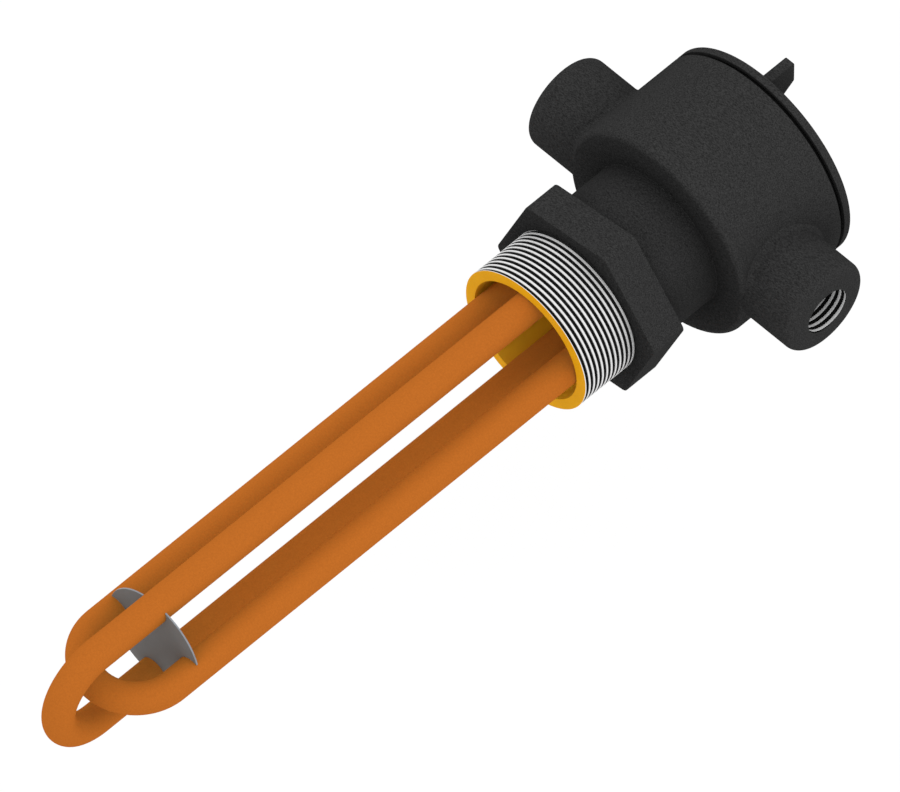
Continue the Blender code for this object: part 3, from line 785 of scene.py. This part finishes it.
def make_conduit_thread(name, turn, crest, root, paint):
    liner = Surface()
    add_thread(
        liner, (HUB_BORE_RADIUS, HUB_BORE_RADIUS + CONDUIT_DEPTH, HUB_BORE_RADIUS + LINER_WALL),
        (CAVITY_RADIUS - LINER_STAND_OUT, HUB_REACH - HAIR), CONDUIT_PITCH, CONDUIT_PHASE,
        CONDUIT_CREST_SHARE, CONDUIT_THREAD_ROUND, (0, 1, 2),
        hub_place(turn) @ Matrix.Rotation(pi / 2, 4, "Y"),
    )
    liner.finish(name, [crest, root, paint], "housing", [])


# Cover


def lug_sides():
    """Inner and outer edge of the lug as (height, radius) pairs."""
    corner = LUG_CORNER_RADIUS
    slope = atan2(LUG_HEIGHT, LUG_FOOT_WIDTH - LUG_TOP_WIDTH)
    back = corner * tan(slope / 2)
    inner_corner = (LUG_OUTER - LUG_TOP_WIDTH + back, LUG_HEIGHT - corner)
    outer_corner = (LUG_OUTER - corner, LUG_HEIGHT - corner)
    inner = [(LUG_OUTER - LUG_FOOT_WIDTH, 0)] + arc(inner_corner, corner, pi / 2 + slope, pi / 2)
    outer = [(LUG_OUTER, 0)] + arc(outer_corner, corner, 0, pi / 2)
    return [[(height, radius) for radius, height in edge] for edge in (inner, outer)]


def radius_at(pairs, height):
    """Radius at a height, along (height, radius) pairs from low to high and held past both ends."""
    height = min(max(height, pairs[0][0]), pairs[-1][0])
    (low, first), (high, second) = next(
        (start, end) for start, end in zip(pairs, pairs[1:]) if height <= end[0]
    )
    return first + (second - first) * ((height - low) / (high - low))


def lug_ring(near, far, half, level):
    """Rounded rectangle across the lug, from one radius to another."""
    corner = LUG_SIDE_RADIUS
    centres = (
        (far - corner, half - corner), (near + corner, half - corner),
        (near + corner, corner - half), (far - corner, corner - half),
    )
    ring = []
    for quarter, centre in enumerate(centres):
        start = quarter * pi / 2
        ring += [(x, y, level) for x, y in arc(centre, corner, start, start + pi / 2, LUG_CORNER_STEPS)]
    return ring


def add_lug(surface, turn):
    """Lug that flares at its foot and is rounded along its sides and its top."""
    inner, outer = lug_sides()
    side, flare, corner = LUG_SIDE_RADIUS, LUG_FOOT_FLARE, LUG_CORNER_RADIUS
    top_turns = [pi / 2 * i / LUG_TOP_STEPS for i in range(1, LUG_TOP_STEPS + 1)]
    straight = LUG_HEIGHT - corner - flare
    heights = [-OVERLAP, HAIR] + [flare * i / FLARE_STEPS for i in range(1, FLARE_STEPS + 1)]
    heights += [flare + straight * i / LUG_SIDE_STEPS for i in range(1, LUG_SIDE_STEPS + 1)]
    heights += [LUG_HEIGHT - corner * (1 - sin(top_turn)) for top_turn in top_turns]
    matrix = Matrix.Rotation(turn, 4, "Z")
    rings = []
    for height in heights:
        to_flare = flare - min(flare, max(0, height))
        spread = flare - sqrt(flare ** 2 - to_flare ** 2)
        rise = max(0, height - (LUG_HEIGHT - side))
        drop = side - sqrt(max(0, side ** 2 - rise ** 2))
        near = radius_at(inner, height) - spread + drop * LUG_TOP_TAPER
        far = radius_at(outer, height) + spread - drop * LUG_TOP_TAPER
        ring = lug_ring(near, far, LUG_THICKNESS / 2 + spread - drop, COVER_TOP + height)
        rings.append([matrix @ Vector(point) for point in ring])
    surface.loft(rings)


def make_cover(paint, seat):
    """Screwed cover: flange with a groove for the seal, threaded spigot and two lugs."""
    spigot = CAVITY_RADIUS - TOUCH
    root = spigot - COVER_THREAD_DEPTH
    inside = spigot - COVER_SPIGOT_WALL
    groove_out = RING_RADIUS + GROOVE_WIDTH / 2
    groove_in = RING_RADIUS - GROOVE_WIDTH / 2
    groove_top = COVER_SEAT + GROOVE_DEPTH
    end = COVER_SEAT - COVER_SPIGOT_LENGTH
    ceiling = COVER_TOP - COVER_PLATE
    profile = [(0, COVER_TOP), (BOX_RADIUS - COVER_BAND, COVER_TOP)]
    profile += arc((BOX_RADIUS - CAST_EDGE, COVER_TOP - CAST_EDGE), CAST_EDGE, pi / 2, 0, EDGE_STEPS)
    profile += arc((BOX_RADIUS - SEAT_EDGE, COVER_SEAT + SEAT_EDGE), SEAT_EDGE, 0, -pi / 2, SEAT_STEPS)
    profile += [(groove_out, COVER_SEAT), (groove_out, groove_top)]
    profile += [(groove_in, groove_top), (groove_in, COVER_SEAT)]
    profile += [(root, COVER_SEAT), (root, end), (inside, end), (inside, ceiling), (0, ceiling)]
    cover = Surface()
    cover.revolve(profile)
    add_thread(
        cover, (spigot, root, root - COVER_SLEEVE_SINK), (end, COVER_SEAT - COVER_THREAD_RELIEF),
        COVER_PITCH,
    )
    add_lug(cover, pi / 2)
    add_lug(cover, -pi / 2)
    piece = cover.finish("screwed_cover", [paint, seat], "cover", ["housing_cover"])
    mark_seat(piece, COVER_SEAT)


def make_seal(rubber):
    level = COVER_SEAT + GROOVE_DEPTH - TOUCH - RING_CORD_RADIUS
    seal = Surface()
    seal.revolve(arc((RING_RADIUS, level), RING_CORD_RADIUS, 0, tau, CORD_ROUND)[:-1], loop=True)
    seal.finish("round_seal", [rubber], "cover_seal", ["cover_o_ring"])


# Plug, whose material slots are these
BRASS, BORE, CREST, ROOT, PAINT = range(5)


def hexagon_ring(inset, level):
    """Rounded hexagon as (x, y, z) points, drawn in from the full size by an inset."""
    radius = HEX_CORNER_RADIUS - inset
    reach = (HEX_ACROSS_FLATS / 2 - inset - radius) / cos(pi / 6)
    points = []
    for i in range(6):
        heading = -HEX_TURN + i * pi / 3
        centre = (reach * cos(heading), reach * sin(heading))
        corner = arc(centre, radius, heading - pi / 6, heading + pi / 6, HEX_CORNER_STEPS)
        points += [(x, y, level) for x, y in corner]
    return points


def circle_like(points, radius, level):
    """Circle with a point in line with each point given."""
    return [(x * radius / hypot(x, y), y * radius / hypot(x, y), level) for x, y, z in points]


def add_hexagon(surface):
    edge = PLUG_EDGE
    turns = [pi / 2 * i / HEX_EDGE_STEPS for i in range(HEX_EDGE_STEPS + 1)]
    outline = hexagon_ring(0, 0)
    rings = [circle_like(outline, PLUG_RING_WALL, 0)]
    rings += [hexagon_ring(edge * (1 - sin(t)), edge * (1 - cos(t))) for t in turns]
    rings += [hexagon_ring(edge * (1 - cos(t)), HEX_HEIGHT - edge * (1 - sin(t))) for t in turns]
    rings += [circle_like(outline, PLUG_RING_WALL, HEX_HEIGHT)]
    surface.loft(rings, slots=PAINT, loop=True)


def add_plug_thread(surface):
    radii = (THREAD_RADIUS, THREAD_ROOT_RADIUS, THREAD_ROOT_RADIUS - PLUG_SLEEVE_SINK)
    levels = (PLUG_TIP + TIP_LIP - HAIR, -HAIR)
    phase = THREAD_PHASE + THREAD_PITCH * THREAD_PHASE_ANGLE / tau
    add_thread(
        surface, radii, levels, THREAD_PITCH, phase, steps=PLUG_THREAD_ROUND, slots=(CREST, ROOT, BRASS),
    )


def add_painted_ring(surface):
    """Ring that fills the thread's last groove, beside the hexagon."""
    wall, collar = PLUG_RING_WALL, THREAD_RADIUS - COLLAR_DROP
    profile = [(wall, -PLUG_COLLAR), (collar, -PLUG_COLLAR), (collar, TOUCH), (wall, TOUCH)]
    surface.revolve(profile, slots=PAINT, loop=True)


def plug_core():
    """Front lip, bore, wall under the thread, web and rear spigot."""
    wall = THREAD_ROOT_RADIUS - PLUG_CORE_SINK
    step = HEX_HEIGHT - PLUG_STEP_SINK
    chamfer = TIP_LIP / 4
    profile = [
        (0, WEB_FRONT), (PLUG_BORE_RADIUS, WEB_FRONT), (PLUG_BORE_RADIUS, PLUG_TIP),
        (THREAD_RADIUS - chamfer, PLUG_TIP), (THREAD_RADIUS, PLUG_TIP + chamfer),
        (THREAD_RADIUS, PLUG_TIP + TIP_LIP), (wall, PLUG_TIP + TIP_LIP), (wall, step),
        (SPIGOT_RADIUS, step), (SPIGOT_RADIUS, PLUG_REAR), (0, PLUG_REAR),
    ]
    core = Surface()
    # The lip in front of the first thread takes the crests' painted light.
    core.revolve(profile, slots=[BORE, BORE, BRASS, BRASS, CREST, CREST, BRASS, BRASS, BRASS, BRASS])
    return core


def leg_holes():
    """Four holes through the plug's web."""
    radius, front, rear = TUBE_RADIUS + TOUCH, WEB_FRONT - OVERLAP, PLUG_REAR + OVERLAP
    holes = Surface()
    for place in LEG_PLACES:
        holes.revolve([(0, front), (radius, front), (radius, rear), (0, rear)], CUT_ROUND, centre=place)
    return holes


def make_plug(brass, bore, crest, root, paint):
    plug = Surface(carve(plug_core(), leg_holes()))
    add_plug_thread(plug)
    add_painted_ring(plug)
    add_hexagon(plug)
    materials = [brass, bore, crest, root, paint]
    plug.finish("threaded_plug", materials, "housing", ["screw_plug"])


# Elements


def make_hairpin(name, reach, across, copper, stands_for):
    """U-bent tube with its legs on both sides of the heater axis, along the unit vector across."""
    bend_level = -(reach - TUBE_RADIUS - LEG_CIRCLE_RADIUS)
    run = bend_level - LEG_END
    leg = [(LEG_END, TUBE_RADIUS - TUBE_EDGE), (LEG_END - TUBE_EDGE, TUBE_RADIUS)]
    leg += [(LEG_END + run * i / LEG_STEPS, TUBE_RADIUS) for i in range(1, LEG_STEPS)]
    stations = [(LEG_CIRCLE_RADIUS, level, (1, 0), radius) for level, radius in leg]
    for i in range(BEND_STEPS + 1):
        turn = -pi * i / BEND_STEPS
        out, level = LEG_CIRCLE_RADIUS * cos(turn), bend_level + LEG_CIRCLE_RADIUS * sin(turn)
        stations.append((out, level, (cos(turn), sin(turn)), TUBE_RADIUS))
    stations += [(-LEG_CIRCLE_RADIUS, level, (-1, 0), radius) for level, radius in leg[::-1]]
    rings = []
    for out, level, (outward, upward), radius in stations:
        ring = []
        for k in range(TUBE_ROUND):
            spin = tau * k / TUBE_ROUND
            side, over = radius * cos(spin), radius * sin(spin)
            reach_out = out + outward * side
            ring.append((
                across[0] * reach_out - across[1] * over, across[1] * reach_out + across[0] * over,
                level + upward * side,
            ))
        rings.append(ring)
    tube = Surface()
    tube.loft(rings)
    tube.finish(name, [copper], "housing", [stands_for])


def make_spacer(sheet, edge_highlight):
    """Thin disc whose rim is notched by the four legs."""
    notch = TUBE_RADIUS + SPACER_GAP
    reach = LEG_CIRCLE_RADIUS
    meet = acos((SPACER_RADIUS ** 2 + reach ** 2 - notch ** 2) / (2 * SPACER_RADIUS * reach))
    lip = atan2(SPACER_RADIUS * sin(meet), SPACER_RADIUS * cos(meet) - reach)
    notch_edge = arc((reach, 0), notch, -lip, lip - tau, NOTCH_STEPS)
    rim = arc((0, 0), SPACER_RADIUS, meet, pi / 2 - meet, RIM_STEPS)[1:-1]
    outline = []
    for i in range(4):
        turn = Matrix.Rotation(i * pi / 2, 2)
        outline += [tuple(turn @ Vector(point)) for point in notch_edge + rim]
    front_level = -(SHORT_REACH - TUBE_RADIUS - LEG_CIRCLE_RADIUS) + SPACER_SETBACK
    disc = Surface()
    front = disc.ring([(x, y, front_level) for x, y in outline])
    back = disc.ring([(x, y, front_level + SPACER_THICKNESS) for x, y in outline])
    disc.work.faces.new(front)
    disc.work.faces.new(back[::-1])
    # The thin edge takes the second material, its painted highlight.
    disc.bridge(front, back, slot=1)
    piece = disc.finish(
        "notched_spacer", [sheet, edge_highlight], "housing", ["element_spacer"],
    )
    break_edges(piece, SPACER_EDGE, SPACER_EDGE_ANGLE)


# Terminals: the CAD solids stay, with broken edges and their own materials


def dress(node_name, material, edge):
    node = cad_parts[node_name]
    node.data.materials.clear()
    node.data.materials.append(material)
    break_edges(node, edge, TERMINAL_EDGE_ANGLE)


def dress_terminals(steel, ceramic, link_copper, green):
    for number in range(1, 5):
        dress(f"bushing_{number}", ceramic, BUSHING_EDGE)
        dress(f"pin_{number}", steel, PIN_EDGE)
        dress(f"lower_nut_{number}", steel, NUT_EDGE)
        dress(f"upper_nut_{number}", steel, NUT_EDGE)
        dress(f"washer_{number}", steel, WASHER_EDGE)
    for number in (1, 2):
        dress(f"link_bar_{number}", link_copper, BAR_EDGE)
    dress("ground_screw", green, SCREW_EDGE)
    dress("ground_washer", steel, WASHER_EDGE)


# Stage


def make_camera():
    data = bpy.data.cameras.new("photo_camera")
    data.lens = CAMERA_LENS
    data.clip_end = CAMERA_FAR
    turn = Matrix.Rotation(CAMERA_AZIMUTH, 4, "Z") @ Matrix.Rotation(pi / 2 - CAMERA_ELEVATION, 4, "X")
    turn = turn @ Matrix.Rotation(CAMERA_ROLL, 4, "Z")
    back = turn.to_3x3() @ Vector((0, 0, 1))
    camera = add_object("photo_camera", data)
    camera.matrix_world = Matrix.Translation(CAMERA_AIM + back * CAMERA_DISTANCE) @ turn
    bpy.context.scene.camera = camera


def direct_ray(nodes, links):
    """1 for rays from the camera, off a mirror or through glass."""
    path = nodes.new("ShaderNodeLightPath")
    ray = path.outputs["Is Camera Ray"]
    for other in ("Is Glossy Ray", "Is Transmission Ray"):
        either = nodes.new("ShaderNodeMath")
        either.operation = "MAXIMUM"
        links.new(ray, either.inputs[0])
        links.new(path.outputs[other], either.inputs[1])
        ray = either.outputs[0]
    return ray


def show_instead(nodes, links, lighting, shown, output):
    """Send one shader to the output for light on the object, and another for what is seen directly."""
    pick = nodes.new("ShaderNodeMixShader")
    links.new(direct_ray(nodes, links), pick.inputs["Fac"])
    links.new(lighting.outputs[0], pick.inputs[1])
    links.new(shown.outputs[0], pick.inputs[2])
    links.new(pick.outputs[0], output.inputs["Surface"])


def floor_material():
    """White to the camera apart from the shadow, and a plain pale floor to the object."""
    material = bpy.data.materials.new("pale_floor")
    material.use_nodes = True
    nodes, links = material.node_tree.nodes, material.node_tree.links
    nodes.clear()
    plain = nodes.new("ShaderNodeBsdfDiffuse")
    plain.inputs["Color"].default_value = (*grey(FLOOR_COLOUR), 1)
    shadowed = nodes.new("ShaderNodeBsdfDiffuse")
    shadowed.inputs["Color"].default_value = (*grey(FLOOR_PALE), 1)
    white = nodes.new("ShaderNodeEmission")
    white.inputs["Color"].default_value = (1, 1, 1, 1)
    white.inputs["Strength"].default_value = FLOOR_WHITE
    seen = nodes.new("ShaderNodeAddShader")
    links.new(shadowed.outputs[0], seen.inputs[0])
    links.new(white.outputs[0], seen.inputs[1])
    show_instead(nodes, links, plain, seen, nodes.new("ShaderNodeOutputMaterial"))
    return material


def make_floor():
    half = FLOOR_SIZE / 2
    corners = [(-half, -half), (half, -half), (half, half), (-half, half)]
    mesh = bpy.data.meshes.new("floor")
    mesh.from_pydata([(x, y, FLOOR_LEVEL) for x, y in corners], [], [(0, 1, 2, 3)])
    mesh.materials.append(floor_material())
    floor_piece = add_object("floor", mesh)


def make_world():
    world = bpy.data.worlds.new("studio")
    world.use_nodes = True
    nodes, links = world.node_tree.nodes, world.node_tree.links
    nodes.clear()
    soft = nodes.new("ShaderNodeBackground")
    soft.inputs["Color"].default_value = (1, 1, 1, 1)
    soft.inputs["Strength"].default_value = WORLD_LIGHT
    white = nodes.new("ShaderNodeBackground")
    white.inputs["Color"].default_value = (1, 1, 1, 1)
    show_instead(nodes, links, soft, white, nodes.new("ShaderNodeOutputWorld"))
    bpy.context.scene.world = world


def make_key_light():
    """Soft sun that shines from the key's direction."""
    data = bpy.data.lights.new("key", "SUN")
    data.energy = KEY_LIGHT
    data.angle = KEY_SPREAD
    light = add_object("key", data)
    light.rotation_mode = "QUATERNION"
    light.rotation_quaternion = Vector(KEY_DIRECTION).to_track_quat("Z", "Y")


def make_stage():
    make_camera()
    make_floor()
    make_world()
    make_key_light()
    bpy.context.scene.view_settings.view_transform = "Standard"


def build():
    paint, seat, sheath = paint_material(), seat_shade_material(), sheath_material()
    conduit = (conduit_crest_material(), conduit_root_material(), paint)
    make_casting(paint, seat)
    make_mouth_thread(paint)
    make_conduit_thread("conduit_thread_right", 0, *conduit)
    make_conduit_thread("conduit_thread_left", pi, *conduit)
    make_cover(paint, seat)
    make_seal(rubber_material())
    make_plug(brass_material(), bore_light_material(), crest_material(), root_material(), paint)
    make_hairpin("short_hairpin", SHORT_REACH, (1, 0), sheath, "element_short")
    make_hairpin("long_hairpin", LONG_REACH, (0, 1), sheath, "element_long")
    make_spacer(spacer_material(), spacer_edge_highlight_material())
    dress_terminals(steel_material(), ceramic_material(), link_copper_material(), green_material())
    make_stage()


def write_sizes():
    def plain(box):
        return [[float(value) for value in corner] for corner in box]


build()
write_sizes()
